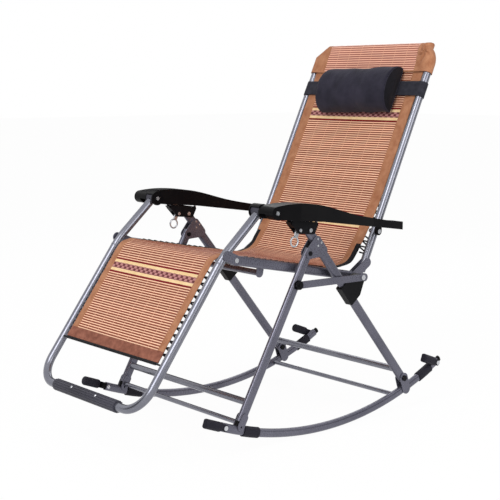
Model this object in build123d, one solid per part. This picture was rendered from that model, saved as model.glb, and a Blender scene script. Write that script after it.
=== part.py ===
from build123d import *
import math
import os

# Folding lounge chair on rocker runners, in millimetres.
# X runs across the chair, -Y is the way the sitter faces, Z is up, Z = 0 is the floor.
# Points of the side view are (Y, Z) pairs.

# Pivots of the leg frame
REAR_FOOT = (415.0, 107.0)
LEG_TOP = (-1.0, 616.0)
LEG_PIVOT = (-1.0, 548.0)
FRONT_FOOT = (-257.0, 90.0)
LINK_FRONT = (-48.0, 460.0)

# Pivots of the seat linkage: arm and seat rail are parallel, back and leg rest are parallel
SEAT_REAR = (214.0, 455.0)
SEAT_FRONT = (-256.0, 549.0)
ARM_REAR = (312.0, 585.0)
ARM_FRONT = (
    SEAT_FRONT[0] + ARM_REAR[0] - SEAT_REAR[0],
    SEAT_FRONT[1] + ARM_REAR[1] - SEAT_REAR[1],
)

# Sections
TUBE_D = 25.0
TUBE_WALL = 1.5
LEG_DEPTH = 30.0
LEG_THICK = 17.4
LEG_WALL = 1.5
RAIL_DEPTH = 28.0
RAIL_THICK = 14.0
RUNNER_DEPTH = 26.0
RUNNER_THICK = 18.0
CROSSBAR_D = 20.0
ROD_D = 14.0
PLATE = 2.7
GAP = 0.3
FIT = 0.05
PIN_R = 4.0

# Planes across the chair: the sling's half width sets the tubes, and the tubes set the rest
SLING_HALF = 232.0
LACE_GAP = 12.5
RAIL_ASIDE = 5.0
LEG_ASIDE = 33.0
TUBE_PLANE = SLING_HALF + LACE_GAP + TUBE_D / 2
RAIL_PLANE = TUBE_PLANE + RAIL_ASIDE
LEG_PLANE = TUBE_PLANE + LEG_ASIDE

# Runners
RUNNER_RADIUS = 1100.0
RUNNER_LOW_Y = 75.0
RUNNER_FRONT_Y = -330.0
RUNNER_REAR_Y = 582.0
PAD_LENGTH = 56.0
PAD_WALL = 3.0
FRONT_PAD_Y = -222.0
REAR_PAD_Y = 520.0
REAR_ROD_Y = 382.0

# Stop levers
LEVER_LENGTH = 66.0
LEVER_FOOT_R = 14.0
LEVER_RISE = 21.0

# Back frame
BACK_FOOT = (258.0, 464.0)
BACK_LEAN = 25.4
BACK_LENGTH = 760.0
BACK_BEND = 62.0

# Leg rest frame
LEG_REST_BEND = (-290.0, 562.0)
LEG_REST_FOOT = (-581.8, 165.0)
FOOT_BEND = 75.0
KNEE_BEND = 260.0
COVER_HALF = 158.0
COVER_R = 17.5
COVER_RIBS = 16
COVER_GROOVE = 1.8

# Sling
SLING_THICK = 5.0
SLING_SET = 6.0
CORD_WIDTH = 6.0
CORD_THICK = 3.0
BACK_CORDS = 12
SEAT_CORDS = 9
REST_CORDS = 8
SEAT_CLEAR = 86.0

# Armrests: the profile is given by shares of the way between the pivots and heights above it
ARM_GAP = 3.3
ARM_WIDTH = 61.2
ARM_INNER = TUBE_PLANE + TUBE_D / 2 + ARM_GAP
ARM_OUTER = ARM_INNER + ARM_WIDTH
ARM_INBOARD = TUBE_PLANE - 23.0
ARM_ROLL_R = 19.0
ARM_TAIL = 67.0
ARM_TAIL_TAPER = 18.0
ARM_CROWN = ((0.209, 40.6), (0.375, 46.2), (0.666, 37.6), (0.943, 37.6))
ARM_TAIL_TOP = 42.4
ARM_TAIL_LOW = 17.4
ARM_BELLY = (0.39, -1.2)
CHANNEL_HALF = 13.0
CHANNEL_DEPTH = 16.0
SLIDE_ROD_R = 4.0

# Pillow
PILLOW_HALF = 184.0
PILLOW_HEIGHT = 166.0
PILLOW_DEPTH = 84.0
PILLOW_AT = 588.0
STRAP_AT = 612.0
STRAP_WIDTH = 50.0
STRAP_THICK = 2.0


def unit(p, q):
    """Unit vector from p to q in the side view."""
    length = math.dist(p, q)
    return ((q[0] - p[0]) / length, (q[1] - p[1]) / length)


def along(p, direction, distance, aside=0.0):
    """Point at a distance from p along direction, and aside to its left."""
    return (
        p[0] + direction[0] * distance - direction[1] * aside,
        p[1] + direction[1] * distance + direction[0] * aside,
    )


def shifted(p, offsets):
    """Points of the side view given by their offsets from p."""
    return [(p[0] + dy, p[1] + dz) for dy, dz in offsets]


def outline(points, x0, x1):
    """Plate of the side view between two planes across the chair."""
    face = make_face(Polyline(*[(0, y, z) for y, z in points], close=True))
    return Pos(x0, 0, 0) * extrude(face, amount=x1 - x0, dir=(1, 0, 0))


def disc(p, r, x0, x1):
    """Cylinder across the chair."""
    return Pos(x0, 0, 0) * extrude(Plane.YZ * (Pos(*p) * Circle(r)), amount=x1 - x0)


def stadium(p, q, width, x0, x1):
    """Plate with round ends about p and q."""
    angle = math.degrees(math.atan2(q[1] - p[1], q[0] - p[0]))
    middle = ((p[0] + q[0]) / 2, (p[1] + q[1]) / 2)
    flat = Pos(*middle) * Rot(0, 0, angle) * SlotCenterToCenter(math.dist(p, q), width)
    return Pos(x0, 0, 0) * extrude(Plane.YZ * flat, amount=x1 - x0)


def oval_ring(depth, thick, wall):
    """Section of a flat oval tube, its depth along the local Y."""
    ring = SlotOverall(depth, thick) - SlotOverall(depth - 2 * wall, thick - 2 * wall)
    return Rot(0, 0, 90) * ring


def oval_tube(p, q, depth, thick, wall, x):
    """Straight flat oval tube from p to q in the plane x."""
    d = unit(p, q)
    plane = Plane(origin=(x, *p), x_dir=(1, 0, 0), z_dir=(0, *d))
    return extrude(plane * oval_ring(depth, thick, wall), amount=math.dist(p, q))


def oval_bar(p, q, depth, thick, x):
    """Straight solid of a flat oval section."""
    d = unit(p, q)
    plane = Plane(origin=(x, *p), x_dir=(1, 0, 0), z_dir=(0, *d))
    return extrude(plane * (Rot(0, 0, 90) * SlotOverall(depth, thick)), amount=math.dist(p, q))


def bent_tube(points, radii, diameter, wall):
    """Round tube along straight runs and bends, and the same as a solid bar."""
    path = FilletPolyline(*points, radius=radii)
    plane = Plane(origin=path @ 0, z_dir=path % 0)
    bar = sweep(plane * Circle(diameter / 2), path=path)
    tube = sweep(plane * (Circle(diameter / 2) - Circle(diameter / 2 - wall)), path=path)
    return tube, bar


def cross_bar(p, diameter, half):
    """Tube straight across the chair."""
    ring = Circle(diameter / 2) - Circle(diameter / 2 - TUBE_WALL)
    return Pos(-half, 0, 0) * extrude(Plane.YZ * (Pos(*p) * ring), amount=2 * half)


def pair(solid):
    """A right-hand solid and its mirror image."""
    return [solid, mirror(solid, about=Plane.YZ)]


def save(name, *solids):
    """One STEP file for a node."""
    found = []
    for s in solids:
        found += s.solids()
    shape = found[0] if len(found) == 1 else Compound(children=found)
    shape.label = name
    export_step(shape, f"parts/{name}.step")


def save_pair(name, solid):
    """A right-hand node and its left-hand twin."""
    right, left = pair(solid)
    save(f"{name}_right", right)
    save(f"{name}_left", left)


os.makedirs("parts", exist_ok=True)

LEG_HALF = LEG_THICK / 2
RUNNER_HALF = RUNNER_THICK / 2
INNER, OUTER = LEG_PLANE - RUNNER_HALF, LEG_PLANE + RUNNER_HALF
PLATE_IN = (INNER - PLATE, INNER)
PLATE_OUT = (OUTER, OUTER + PLATE)
RAIL_IN, RAIL_OUT = RAIL_PLANE - RAIL_THICK / 2, RAIL_PLANE + RAIL_THICK / 2
CHEEK_IN = (RAIL_IN - GAP - PLATE, RAIL_IN - GAP)
CHEEK_OUT = (RAIL_OUT + GAP, RAIL_OUT + GAP + PLATE)
LEG_DOWN = unit(LEG_TOP, REAR_FOOT)
FRONT_DOWN = unit(LEG_PIVOT, FRONT_FOOT)
RAIL_REAR = unit(SEAT_FRONT, SEAT_REAR)
ARM_REARWARD = unit(ARM_FRONT, ARM_REAR)
BACK_UP = (math.sin(math.radians(BACK_LEAN)), math.cos(math.radians(BACK_LEAN)))


# Runners: two bowed flat oval tubes joined by a rod at the rear

RUNNER_MID_Z = RUNNER_RADIUS + RUNNER_DEPTH / 2


def runner_point(y, off=0.0):
    """Point of the runner's middle line at y, moved out along its radius by off."""
    r = RUNNER_RADIUS
    angle = math.asin((y - RUNNER_LOW_Y) / r)
    return (
        RUNNER_LOW_Y + (r + off) * math.sin(angle),
        RUNNER_MID_Z - (r + off) * math.cos(angle),
    )


def runner_slope(y):
    """Unit vector along the runner, towards the rear."""
    angle = math.asin((y - RUNNER_LOW_Y) / RUNNER_RADIUS)
    return (math.cos(angle), math.sin(angle))


def runner_sweep(y0, y1, section, x):
    """A section swept along the runner's arc from y0 to y1."""
    middle = (y0 + y1) / 2
    stops = [(x, *runner_point(y)) for y in (y0, middle, y1)]
    path = ThreePointArc(*stops)
    plane = Plane(origin=path @ 0, x_dir=(1, 0, 0), z_dir=path % 0)
    return sweep(plane * section, path=path)


runner = runner_sweep(
    RUNNER_FRONT_Y, RUNNER_REAR_Y, oval_ring(RUNNER_DEPTH, RUNNER_THICK, LEG_WALL), LEG_PLANE
)
save_pair("runner", runner)

cap_section = Rot(0, 0, 90) * SlotOverall(RUNNER_DEPTH - 2 * LEG_WALL, RUNNER_THICK - 2 * LEG_WALL)
CAP_DEPTH = 16.0
nose_section = Rot(0, 0, 90) * SlotOverall(RUNNER_DEPTH - 6, RUNNER_THICK - 4)
front_cap = runner_sweep(RUNNER_FRONT_Y, RUNNER_FRONT_Y + CAP_DEPTH, cap_section, LEG_PLANE)
front_nose = runner_sweep(RUNNER_FRONT_Y - 14, RUNNER_FRONT_Y, nose_section, LEG_PLANE)
rear_cap = runner_sweep(RUNNER_REAR_Y - CAP_DEPTH, RUNNER_REAR_Y, cap_section, LEG_PLANE)
rear_nose = runner_sweep(RUNNER_REAR_Y, RUNNER_REAR_Y + 12, nose_section, LEG_PLANE)
save("runner_end_caps", *pair(front_cap + front_nose), *pair(rear_cap + rear_nose))

pad_section = Rot(0, 0, 90) * (
    SlotOverall(RUNNER_DEPTH + 2 * PAD_WALL, RUNNER_THICK + 2 * PAD_WALL)
    - SlotOverall(RUNNER_DEPTH, RUNNER_THICK)
)
front_pad = runner_sweep(
    FRONT_PAD_Y - PAD_LENGTH / 2, FRONT_PAD_Y + PAD_LENGTH / 2, pad_section, LEG_PLANE
)
rear_pad = runner_sweep(
    REAR_PAD_Y - PAD_LENGTH / 2, REAR_PAD_Y + PAD_LENGTH / 2, pad_section, LEG_PLANE
)
save("runner_pads", *pair(front_pad), *pair(rear_pad))

rear_rod = cross_bar(runner_point(REAR_ROD_Y), ROD_D, INNER)
save("runner_rear_rod", rear_rod)

hinge_foot = runner_point(REAR_FOOT[0] + 12)
hinge_plates = []
for x0, x1 in (PLATE_IN, PLATE_OUT):
    plate = stadium(REAR_FOOT, hinge_foot, 34, x0, x1)
    hinge_plates += pair(plate - disc(REAR_FOOT, PIN_R + 1, x0, x1))
save("rear_foot_plates", *hinge_plates)

foot_pin = disc(REAR_FOOT, PIN_R + 1, PLATE_IN[0] - 1, PLATE_OUT[1] + 1)
foot_pin += disc(REAR_FOOT, PIN_R + 5, PLATE_OUT[1], PLATE_OUT[1] + 4)
foot_pin += disc(REAR_FOOT, PIN_R + 5, PLATE_IN[0] - 4, PLATE_IN[0])
save("rear_foot_pins", *pair(foot_pin))


# Stop levers on the four runner ends: a steel tongue with a round rubber foot

LEVER_X = (OUTER + GAP, OUTER + GAP + 5)
FRONT_LEVER_AT = runner_point(RUNNER_FRONT_Y + 8)
REAR_LEVER_AT = runner_point(RUNNER_REAR_Y - 8)
rise = math.radians(LEVER_RISE)
LEVER_WAY = (-math.cos(rise), math.sin(rise))


def stop_lever(at, way):
    """Tongue about its rivet, and the rubber foot round its far end."""
    end = along(at, way, LEVER_LENGTH)
    tongue = stadium(at, end, 20, *LEVER_X) - disc(at, PIN_R + FIT, *LEVER_X)
    middle = (LEVER_X[0] + LEVER_X[1]) / 2 + 4
    start = along(at, way, LEVER_LENGTH - 42)
    plane = Plane(origin=(middle, *start), x_dir=(1, 0, 0), z_dir=(0, *way))
    foot = extrude(plane * Circle(LEVER_FOOT_R), amount=58)
    foot = fillet(foot.edges(), 4)
    keep_clear = Pos(OUTER + GAP - 100, 0, 0) * Box(200, 2000, 2000)
    return tongue + (foot - keep_clear)


lever_rivets = []
for name, at in (("front", FRONT_LEVER_AT), ("rear", REAR_LEVER_AT)):
    save_pair(f"stop_lever_{name}", stop_lever(at, LEVER_WAY))
    rivet = disc(at, PIN_R, OUTER, LEVER_X[1] + GAP)
    rivet += disc(at, PIN_R + 3, LEVER_X[1] + GAP, LEVER_X[1] + GAP + 2)
    lever_rivets += pair(rivet)
save("stop_lever_rivets", *lever_rivets)


# Rear legs: flat oval tubes, pinned to the runners at the foot

leg_pin_hole = disc(REAR_FOOT, PIN_R + 1 + FIT, LEG_PLANE - 30, LEG_PLANE + 30)
top_hole = disc(LEG_TOP, PIN_R + FIT, LEG_PLANE - 30, LEG_PLANE + 30)
rear_leg = oval_tube(
    along(LEG_TOP, LEG_DOWN, -8), along(REAR_FOOT, LEG_DOWN, 8),
    LEG_DEPTH, LEG_THICK, LEG_WALL, LEG_PLANE,
)
save_pair("rear_leg", rear_leg - leg_pin_hole - top_hole)

rear_bar_at = along(REAR_FOOT, LEG_DOWN, -40)
save("rear_crossbar", cross_bar(rear_bar_at, CROSSBAR_D, LEG_PLANE - LEG_HALF))

GUSSET_HIGH = along(LEG_TOP, LEG_DOWN, 44)
GUSSET_LOW = along(LEG_TOP, LEG_DOWN, 84)
RIVET_SPOTS = (
    along(LEG_TOP, LEG_DOWN, 40, 5),
    along(LEG_TOP, LEG_DOWN, 56, -7),
    along(LEG_TOP, LEG_DOWN, 58, 9),
)
gussets, gusset_rivets, leg_pivots = [], [], []
for x0, x1 in (PLATE_IN, PLATE_OUT):
    plate = stadium(LEG_PIVOT, GUSSET_HIGH, 32, x0, x1)
    plate += stadium(LEG_PIVOT, GUSSET_LOW, 32, x0, x1)
    plate += stadium(GUSSET_HIGH, GUSSET_LOW, 32, x0, x1)
    plate += outline([LEG_PIVOT, GUSSET_HIGH, GUSSET_LOW], x0, x1)
    gussets += pair(plate - disc(LEG_PIVOT, PIN_R, x0, x1))
save("gusset_plates", *gussets)
for spot in RIVET_SPOTS:
    gusset_rivets += pair(disc(spot, 3.2, PLATE_OUT[1], PLATE_OUT[1] + 1.6))
    gusset_rivets += pair(disc(spot, 3.2, PLATE_IN[0] - 1.6, PLATE_IN[0]))
save("gusset_rivets", *gusset_rivets)
leg_pivot = disc(LEG_PIVOT, PIN_R, PLATE_IN[0], PLATE_OUT[1])
leg_pivot += disc(LEG_PIVOT, PIN_R + 3, PLATE_OUT[1], PLATE_OUT[1] + 2)
leg_pivot += disc(LEG_PIVOT, PIN_R + 3, PLATE_IN[0] - 2, PLATE_IN[0])
save("leg_pivot_rivets", *pair(leg_pivot))


# Front legs: they swing between the gusset plates and stand on the runners

front_top = along(LEG_PIVOT, FRONT_DOWN, -12)
front_leg = oval_tube(front_top, FRONT_FOOT, LEG_DEPTH, LEG_THICK, LEG_WALL, LEG_PLANE)
front_leg -= disc(LEG_PIVOT, PIN_R + FIT, LEG_PLANE - 30, LEG_PLANE + 30)
save_pair("front_leg", front_leg)

front_bar_at = along(FRONT_FOOT, FRONT_DOWN, -58)
save("front_crossbar", cross_bar(front_bar_at, CROSSBAR_D, LEG_PLANE - LEG_HALF))

plug = oval_bar(
    along(front_top, FRONT_DOWN, -7), front_top, LEG_DEPTH, LEG_THICK, LEG_PLANE
)

shoe = oval_bar(FRONT_FOOT, along(FRONT_FOOT, FRONT_DOWN, 30), LEG_DEPTH, LEG_THICK, LEG_PLANE)
runner_clear = runner_sweep(
    FRONT_FOOT[0] - 90, FRONT_FOOT[0] + 90,
    Rectangle(RUNNER_THICK + 20, RUNNER_DEPTH + 2 * GAP), LEG_PLANE,
)
below = Pos(LEG_PLANE, FRONT_FOOT[0], runner_point(FRONT_FOOT[0])[1] - 60) * Box(60, 200, 110)
save("front_leg_ends", *pair(plug), *pair(shoe - runner_clear - below))

clip_low = along(FRONT_FOOT, FRONT_DOWN, 14)
clip_high = along(FRONT_FOOT, FRONT_DOWN, -14)
CLIP_IN = (INNER - GAP - PLATE, INNER - GAP)
CLIP_OUT = (OUTER + GAP, OUTER + GAP + PLATE)
clips = []
for x0, x1, face in ((*CLIP_IN, LEG_PLANE - LEG_HALF), (*CLIP_OUT, LEG_PLANE + LEG_HALF)):
    clip = stadium(clip_high, clip_low, 24, x0, x1)
    spacer = disc(clip_high, 8, min(x0, face), max(x1, face))
    clips += pair(clip + spacer - disc(clip_low, 3, x0, x1))
save("front_foot_clips", *clips)
save("front_foot_rod", cross_bar(along(FRONT_FOOT, FRONT_DOWN, 4), ROD_D, CLIP_IN[0]))


# Sleeves that slide on the rear legs and carry the seat

SLEEVE_HALF = LEG_HALF + GAP + 3.0
sleeve_at = (SEAT_REAR[0] - LEG_TOP[0]) * LEG_DOWN[0] + (SEAT_REAR[1] - LEG_TOP[1]) * LEG_DOWN[1]
SLEEVE_TOP, SLEEVE_LOW = sleeve_at - 34, sleeve_at + 38
SLEEVE_REACH = LEG_DEPTH / 2 + 5
bore = oval_bar(
    along(LEG_TOP, LEG_DOWN, SLEEVE_TOP - 5), along(LEG_TOP, LEG_DOWN, SLEEVE_LOW + 5),
    LEG_DEPTH + 2 * GAP, LEG_THICK + 2 * GAP, LEG_PLANE,
)
sleeve_side = [
    along(LEG_TOP, LEG_DOWN, SLEEVE_TOP, -SLEEVE_REACH),
    along(LEG_TOP, LEG_DOWN, SLEEVE_LOW, -SLEEVE_REACH),
    along(LEG_TOP, LEG_DOWN, SLEEVE_LOW, SLEEVE_REACH + 6),
    along(SEAT_REAR, LEG_DOWN, 17),
    along(SEAT_REAR, LEG_DOWN, 0, 13),
    along(SEAT_REAR, LEG_DOWN, -15),
    along(LEG_TOP, LEG_DOWN, SLEEVE_TOP, SLEEVE_REACH + 6),
]
sleeve = outline(sleeve_side, LEG_PLANE - SLEEVE_HALF, LEG_PLANE + SLEEVE_HALF)
sleeve = fillet(sleeve.edges().filter_by(Axis.X), 4)
sleeve = sleeve - bore - disc(SEAT_REAR, PIN_R + FIT, LEG_PLANE - 30, LEG_PLANE + 30)
save_pair("leg_sleeve", sleeve)


# Links from the front legs to the sleeves

LINK_X = (LEG_PLANE + SLEEVE_HALF + 0.5, LEG_PLANE + SLEEVE_HALF + 4.5)
link = stadium(LINK_FRONT, SEAT_REAR, 21, *LINK_X)
link -= disc(SEAT_REAR, PIN_R + FIT, *LINK_X)
link -= disc(LINK_FRONT, PIN_R, *LINK_X)
save_pair("link", link)
knuckle = disc(LINK_FRONT, 14, LEG_PLANE + LEG_HALF + GAP, LINK_X[0])
knuckle += disc(LINK_FRONT, PIN_R, LINK_X[0], LINK_X[1])
knuckle += disc(LINK_FRONT, 13, LINK_X[1], LINK_X[1] + 3)
knuckle += disc(LINK_FRONT, 5, LINK_X[1] + 3, LINK_X[1] + 5)
save("link_knuckles", *pair(knuckle))


# Seat pivot bolts through link, sleeve, back cheeks and rail

bolt = disc(SEAT_REAR, PIN_R, CHEEK_IN[0] - GAP, LINK_X[1] + GAP)
bolt += disc(SEAT_REAR, 8, CHEEK_OUT[1] + GAP, LEG_PLANE - SLEEVE_HALF - GAP)
bolt += disc(SEAT_REAR, 8, LINK_X[1] + GAP, LINK_X[1] + GAP + 4)
bolt += disc(SEAT_REAR, 8, CHEEK_IN[0] - GAP - 5, CHEEK_IN[0] - GAP)
save("seat_pivot_bolts", *pair(bolt))


# Seat rails and the bar under the seat

rail = oval_tube(
    along(SEAT_FRONT, RAIL_REAR, -13), along(SEAT_REAR, RAIL_REAR, 13),
    RAIL_DEPTH, RAIL_THICK, LEG_WALL, RAIL_PLANE,
)
rail -= disc(SEAT_REAR, PIN_R + FIT, RAIL_IN - 5, RAIL_OUT + 5)
rail -= disc(SEAT_FRONT, PIN_R + FIT, RAIL_IN - 5, RAIL_OUT + 5)
save_pair("seat_rail", rail)

STRETCHER_D = 18.0
stretch_on = along(SEAT_FRONT, RAIL_REAR, 108, 0)
stretch_at = along(SEAT_FRONT, RAIL_REAR, 108, -27)
ears = []
for sign in (1, -1):
    ear = stadium(stretch_on, stretch_at, 26, RAIL_IN - PLATE, RAIL_IN)
    ears.append(ear if sign > 0 else mirror(ear, about=Plane.YZ))
stretcher = cross_bar(stretch_at, STRETCHER_D, RAIL_IN - PLATE)
save("seat_stretcher", stretcher + ears[0] + ears[1])


# Back frame: a tube bent over the top, with cheeks that turn on the seat pivot

back_top = along(BACK_FOOT, BACK_UP, BACK_LENGTH)
back_tube, back_bar = bent_tube(
    [
        (TUBE_PLANE, *BACK_FOOT),
        (TUBE_PLANE, *back_top),
        (-TUBE_PLANE, *back_top),
        (-TUBE_PLANE, *BACK_FOOT),
    ],
    [BACK_BEND, BACK_BEND],
    TUBE_D,
    TUBE_WALL,
)
for side in (1, -1):
    hole = disc(ARM_REAR, PIN_R + FIT, TUBE_PLANE - 20, TUBE_PLANE + 20)
    back_tube -= hole if side > 0 else mirror(hole, about=Plane.YZ)
save("back_frame", back_tube)

BUSH_R = 6.0
cheek_high = along(BACK_FOOT, BACK_UP, 30)
cheek_tail = along(SEAT_REAR, RAIL_REAR, 46)
cheeks, bushes = [], []
for x0, x1 in (CHEEK_IN, CHEEK_OUT):
    cheek = stadium(SEAT_REAR, cheek_high, 28, x0, x1)
    cheek += stadium(SEAT_REAR, cheek_tail, 25, x0, x1)
    cheek = cheek - back_bar - disc(SEAT_REAR, BUSH_R + FIT, x0, x1)
    cheek = max(cheek.solids(), key=lambda s: s.volume)
    cheeks += pair(cheek)
    bush = disc(SEAT_REAR, BUSH_R, x0, x1) - disc(SEAT_REAR, PIN_R + FIT, x0, x1)
    bushes += pair(bush)
save("back_cheeks", *cheeks)
save("back_pivot_bushes", *bushes)


# Leg rest frame: a tube bent across the feet, with cheeks on the rail's front pivot

rest_tube, rest_bar = bent_tube(
    [
        (TUBE_PLANE, *along(ARM_FRONT, unit(ARM_FRONT, LEG_REST_BEND), 16)),
        (TUBE_PLANE, *LEG_REST_BEND),
        (TUBE_PLANE, *LEG_REST_FOOT),
        (-TUBE_PLANE, *LEG_REST_FOOT),
        (-TUBE_PLANE, *LEG_REST_BEND),
        (-TUBE_PLANE, *along(ARM_FRONT, unit(ARM_FRONT, LEG_REST_BEND), 16)),
    ],
    [KNEE_BEND, FOOT_BEND, FOOT_BEND, KNEE_BEND],
    TUBE_D,
    TUBE_WALL,
)
save("leg_rest_frame", rest_tube)

front_cheeks = []
for x0, x1 in (CHEEK_IN, CHEEK_OUT):
    cheek = stadium(SEAT_FRONT, along(LEG_REST_BEND, (0.7, 0.7), 3), 30, x0, x1)
    cheek = cheek - rest_bar - disc(SEAT_FRONT, PIN_R + FIT, x0, x1)
    front_cheeks += pair(max(cheek.solids(), key=lambda s: s.volume))
save("leg_rest_cheeks", *front_cheeks)

front_rivet = disc(SEAT_FRONT, PIN_R, CHEEK_IN[0] - GAP, CHEEK_OUT[1] + GAP)
front_rivet += disc(SEAT_FRONT, PIN_R + 3, CHEEK_OUT[1] + GAP, CHEEK_OUT[1] + GAP + 2)
front_rivet += disc(SEAT_FRONT, PIN_R + 3, CHEEK_IN[0] - GAP - 2, CHEEK_IN[0] - GAP)
save("front_pivot_rivets", *pair(front_rivet))

cover_section = Circle(COVER_R) - Circle(TUBE_D / 2 + GAP)
cover_section -= PolarLocations(COVER_R, COVER_RIBS) * Circle(COVER_GROOVE)
cover = extrude(Plane.YZ * cover_section, amount=2 * COVER_HALF)
save("foot_cover", Pos(-COVER_HALF, *LEG_REST_FOOT) * cover)
KNUCKLE_X = (ARM_INBOARD + 4, ARM_INNER - GAP)
arm_knuckle = disc(ARM_FRONT, ARM_ROLL_R - 1.5, *KNUCKLE_X) - rest_bar
arm_knuckle -= disc(ARM_FRONT, PIN_R + FIT, *KNUCKLE_X)
save_pair("arm_knuckle", max(arm_knuckle.solids(), key=lambda s: s.volume))


# Armrests: moulded arms with a rolled front and a channel for the slide rod

ARM_RUN = (ARM_REAR[0] - ARM_FRONT[0], ARM_REAR[1] - ARM_FRONT[1])


def on_arm(share, height):
    """Point of the arm's side view, at a share of the way between its pivots."""
    return (ARM_FRONT[0] + share * ARM_RUN[0], ARM_FRONT[1] + share * ARM_RUN[1] + height)


TAIL_SHARE = 1 + ARM_TAIL / ARM_RUN[0]
arm_front_top = (ARM_FRONT[0], ARM_FRONT[1] + ARM_ROLL_R)
arm_front_low = (ARM_FRONT[0], ARM_FRONT[1] - ARM_ROLL_R)
arm_tail_top = on_arm(TAIL_SHARE, ARM_TAIL_TOP)
arm_tail_low = on_arm(TAIL_SHARE, ARM_TAIL_LOW)
arm_belly = on_arm(*ARM_BELLY)
crown = [arm_front_top, *[on_arm(*p) for p in ARM_CROWN], arm_tail_top]
arm_top = Spline(*[(0, *p) for p in crown], tangents=[(0, 1, 0.12), (0, 1, -0.1)])
arm_side = make_face(
    [
        arm_top,
        Line((0, *arm_tail_top), (0, *arm_tail_low)),
        Line((0, *arm_tail_low), (0, *arm_belly)),
        Line((0, *arm_belly), (0, *arm_front_low)),
        ThreePointArc(
            (0, *arm_front_low),
            (0, ARM_FRONT[0] - ARM_ROLL_R, ARM_FRONT[1]),
            (0, *arm_front_top),
        ),
    ]
)
arm = Pos(ARM_INNER, 0, 0) * extrude(arm_side, amount=ARM_OUTER - ARM_INNER, dir=(1, 0, 0))
TAIL_OUTER = ARM_OUTER - ARM_TAIL_TAPER
tail_y = arm_tail_top[0]
plan = make_face(
    Polyline(
        (ARM_INNER, ARM_FRONT[0] - 40, 0),
        (ARM_OUTER, ARM_FRONT[0] - 40, 0),
        (ARM_OUTER, ARM_FRONT[0] + 90, 0),
        (TAIL_OUTER, tail_y - 130, 0),
        (TAIL_OUTER, tail_y + 10, 0),
        (ARM_INNER, tail_y + 10, 0),
        close=True,
    )
)
arm = arm & extrude(plan, amount=1000)
hood_in = disc(ARM_FRONT, ARM_ROLL_R - 0.7, ARM_INBOARD, ARM_INNER)
hood = disc(ARM_FRONT, ARM_ROLL_R + 3, ARM_INBOARD, ARM_INNER) - hood_in
hood_keep = outline(
    [
        along(ARM_FRONT, (-0.766, 0.643), 60),
        ARM_FRONT,
        along(ARM_FRONT, (0.94, 0.34), 60),
        along(ARM_FRONT, (0.3, 0.95), 90),
        along(ARM_FRONT, (-0.3, 0.95), 90),
    ],
    ARM_INBOARD, ARM_INNER,
)
hood = hood & hood_keep
inner_ear = disc(ARM_FRONT, ARM_ROLL_R + 3, ARM_INBOARD, ARM_INBOARD + 3.7)
arm = arm + hood + inner_ear
channel = outline(
    [
        along(ARM_FRONT, ARM_REARWARD, -60, -40),
        along(ARM_FRONT, ARM_REARWARD, -60, -CHANNEL_DEPTH / 2),
        along(ARM_FRONT, ARM_REARWARD, 360, -CHANNEL_DEPTH / 2 + 12),
        along(ARM_FRONT, ARM_REARWARD, 360, -40),
    ],
    LEG_PLANE - CHANNEL_HALF, LEG_PLANE + CHANNEL_HALF,
)
arm -= channel
EAR_X = (ARM_INNER, ARM_INNER + 6)
ear = stadium(ARM_REAR, along(ARM_REAR, (0, 1), 22), 24, *EAR_X)
arm = arm + ear - disc(ARM_REAR, PIN_R + FIT, *EAR_X)
arm -= disc(ARM_FRONT, PIN_R, ARM_INBOARD - 1, ARM_OUTER + 1)
ROD_DROP = 9.8
rod_path = FilletPolyline(
    *[
        (LEG_PLANE, *along(ARM_FRONT, ARM_REARWARD, s, aside))
        for s, aside in ((28, 6), (28, -ROD_DROP), (196, -ROD_DROP), (196, 10))
    ],
    radius=7,
)
rod_plane = Plane(origin=rod_path @ 0, z_dir=rod_path % 0)
slide_rod = sweep(rod_plane * Circle(SLIDE_ROD_R), path=rod_path)
save("arm_slide_rods", *pair(slide_rod))
arm -= slide_rod
save_pair("armrest", arm)

front_bolt = disc(ARM_FRONT, PIN_R, ARM_INBOARD, ARM_OUTER)
front_bolt += disc(ARM_FRONT, PIN_R + 2, ARM_OUTER, ARM_OUTER + 2)
front_bolt += disc(ARM_FRONT, PIN_R + 2, ARM_INBOARD - 2, ARM_INBOARD)
save("arm_front_bolts", *pair(front_bolt))

arm_rivet = disc(ARM_REAR, PIN_R, TUBE_PLANE - TUBE_D / 2 - 1, EAR_X[1] + GAP)
arm_rivet += disc(ARM_REAR, PIN_R + 3, EAR_X[1] + GAP, EAR_X[1] + GAP + 2)
arm_rivet += disc(ARM_REAR, PIN_R + 3, TUBE_PLANE - TUBE_D / 2 - 3, TUBE_PLANE - TUBE_D / 2 - GAP)
save("arm_rear_rivets", *pair(arm_rivet))



# Lock brackets on the leg tops, and the ring levers that free the slide

BRACKET_IN = (INNER - PLATE, INNER)
BRACKET_OUT = (OUTER, OUTER + PLATE)
LOCK_PIVOT, RING_AT = shifted(LEG_TOP, [(-40, 3), (-53, -30)])
bracket_side = shifted(LEG_TOP, [(-85, 35), (35, 21), (17, -13), (-45, -7)])
web_side = shifted(LEG_TOP, [(-80.5, 30), (-76, 30), (-60, 12), (-64, 12)])
LOCK_R = 3.0
bracket = outline(bracket_side, *BRACKET_IN) + outline(bracket_side, *BRACKET_OUT)
bracket = fillet(bracket.edges().filter_by(Axis.X), 7)
bracket += outline(web_side, INNER, OUTER)
bracket -= disc(LEG_TOP, PIN_R + FIT, INNER - 9, OUTER + 9)
bracket -= disc(LOCK_PIVOT, LOCK_R, INNER - 9, OUTER + 9)
save_pair("lock_bracket", bracket)

top_rivet = disc(LEG_TOP, PIN_R, BRACKET_IN[0] - GAP, BRACKET_OUT[1] + GAP)
top_rivet += disc(LEG_TOP, PIN_R + 2, BRACKET_OUT[1] + GAP, BRACKET_OUT[1] + GAP + 2)
top_rivet += disc(LEG_TOP, PIN_R + 2, BRACKET_IN[0] - GAP - 2, BRACKET_IN[0] - GAP)
save("leg_top_rivets", *pair(top_rivet))

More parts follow.
